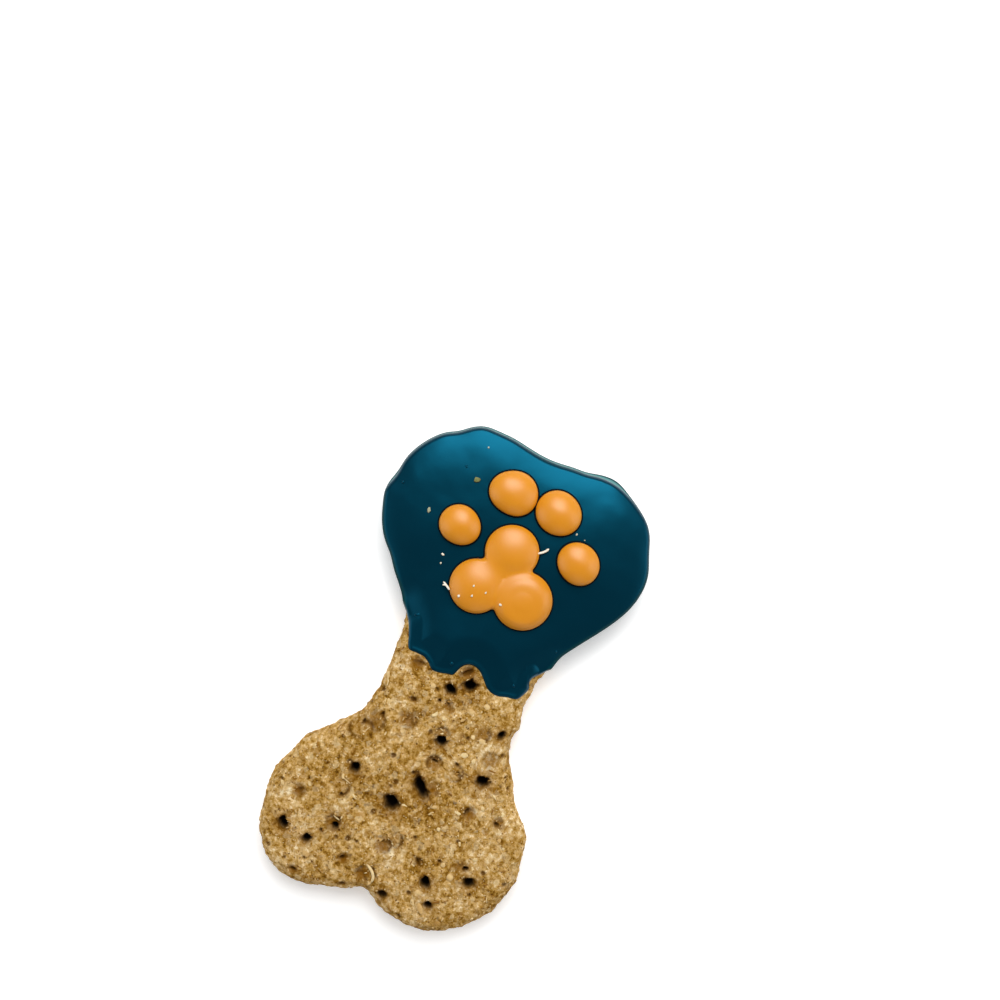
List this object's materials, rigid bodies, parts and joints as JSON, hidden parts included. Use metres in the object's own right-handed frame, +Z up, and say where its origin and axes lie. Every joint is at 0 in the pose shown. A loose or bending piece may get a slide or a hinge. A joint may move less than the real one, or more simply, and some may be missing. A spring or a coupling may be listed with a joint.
{
  "type": "dog biscuit",
  "caption": "Bone-shaped wholemeal dog biscuit with docking holes, one end dipped in coloured coating and decorated with a piped paw.",
  "frame": {"origin": "on the surface that the biscuit lies on, under the middle of its outline", "axes": "+X along the bone to the dipped end, +Y across the bone, +Z up through the decorated face"},
  "size_m": [0.0922, 0.0514, 0.0119],
  "materials": {
    "baked_dough": "baked wholemeal dough: matt, rough and crumbly, with bran and oat flakes",
    "dipped_coating": "set dipped coating: smooth and semi-gloss, deep teal",
    "piped_drops": "piped and set drops: smooth and satin, warm orange"
  },
  "bodies": {
    "root": {"biscuit": "baked_dough", "coating": "dipped_coating", "paw_pad": "piped_drops", "toe_1": "piped_drops", "toe_2": "piped_drops", "toe_3": "piped_drops", "toe_4": "piped_drops"}
  },
  "joints": []
}
